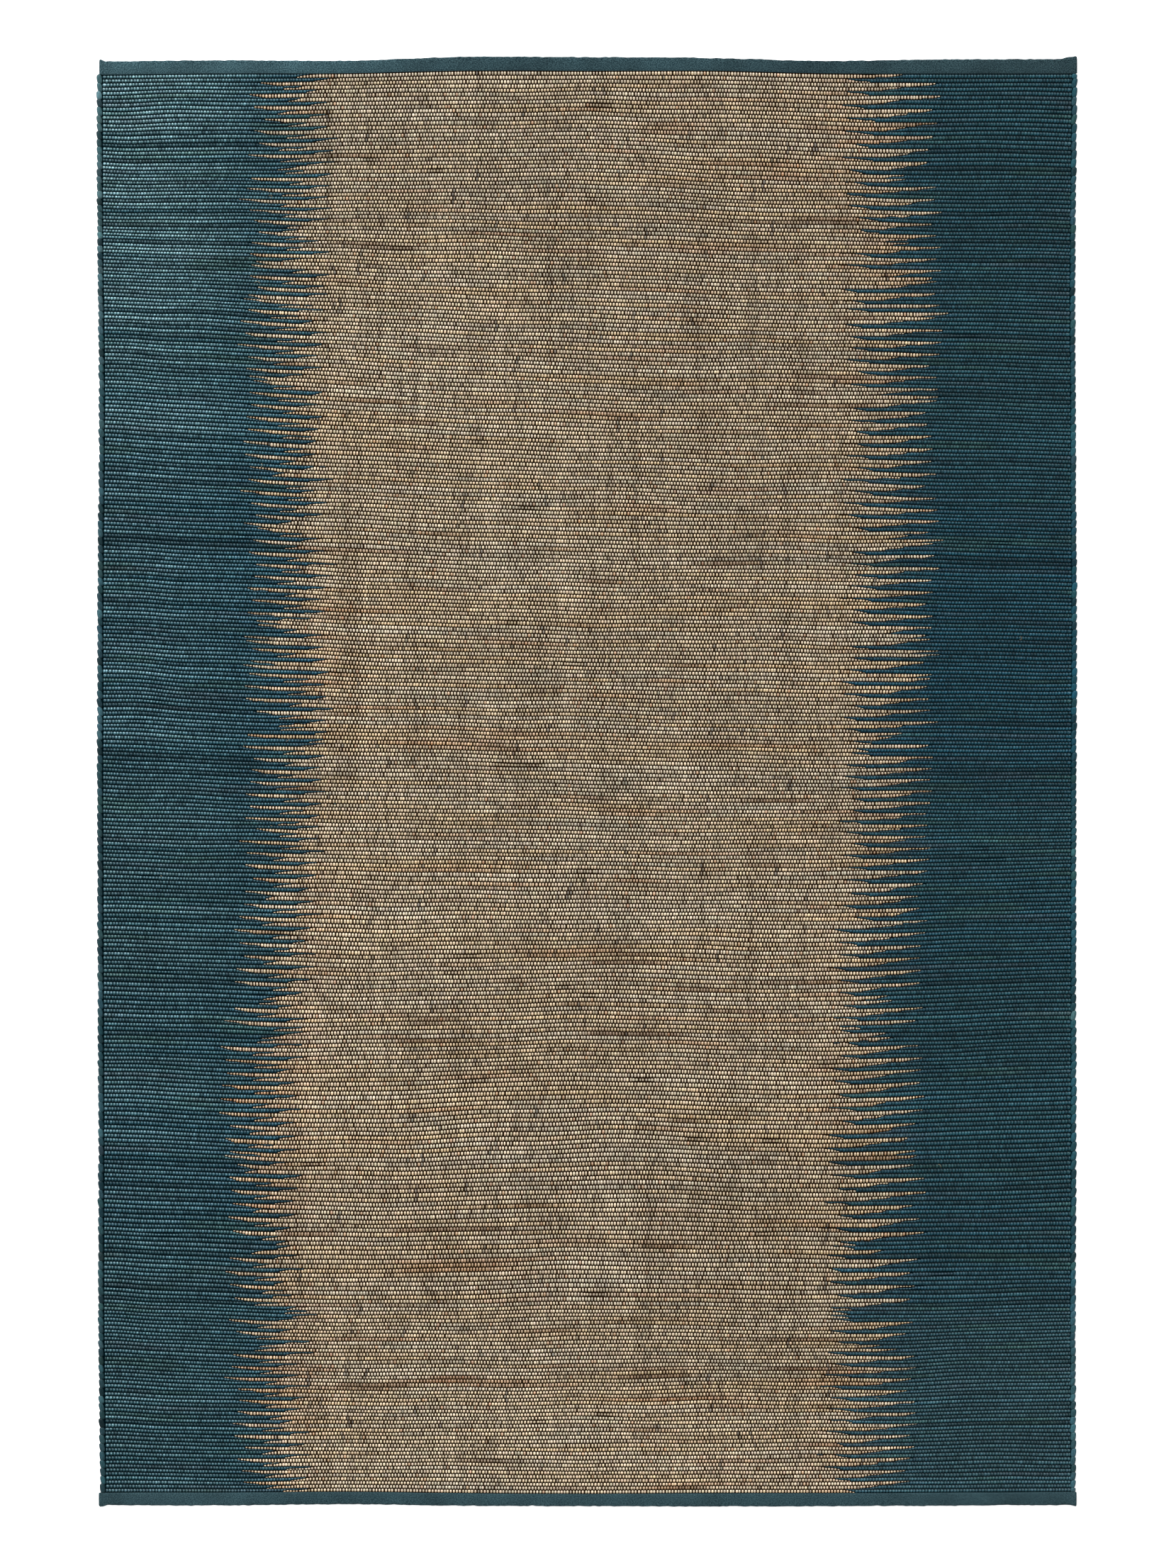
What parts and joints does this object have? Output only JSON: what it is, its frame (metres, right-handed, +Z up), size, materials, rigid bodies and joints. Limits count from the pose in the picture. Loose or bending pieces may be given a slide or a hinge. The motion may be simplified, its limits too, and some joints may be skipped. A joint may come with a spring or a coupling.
{
  "type": "jute rug",
  "caption": "Flat hand-woven jute rug with a natural middle, dark teal sides in interlocked zigzag joins, wound selvedges and folded end tapes.",
  "frame": {"origin": "on the floor, under the middle of the rug", "axes": "+Z is up, +Y runs along the rug towards its far end, and +X runs across it"},
  "size_m": [2.0327, 3.0072, 0.0085],
  "materials": {
    "natural_jute": "matt undyed jute yarn, cream to tan",
    "teal_jute": "jute yarn dyed dark teal, with a slight sheen",
    "end_tape": "finely woven dark teal tape",
    "warp": "thin dark warp thread, mostly hidden"
  },
  "bodies": {
    "root": {"rug_field": "natural_jute", "binding_far": "end_tape", "binding_near": "end_tape"}
  },
  "joints": []
}
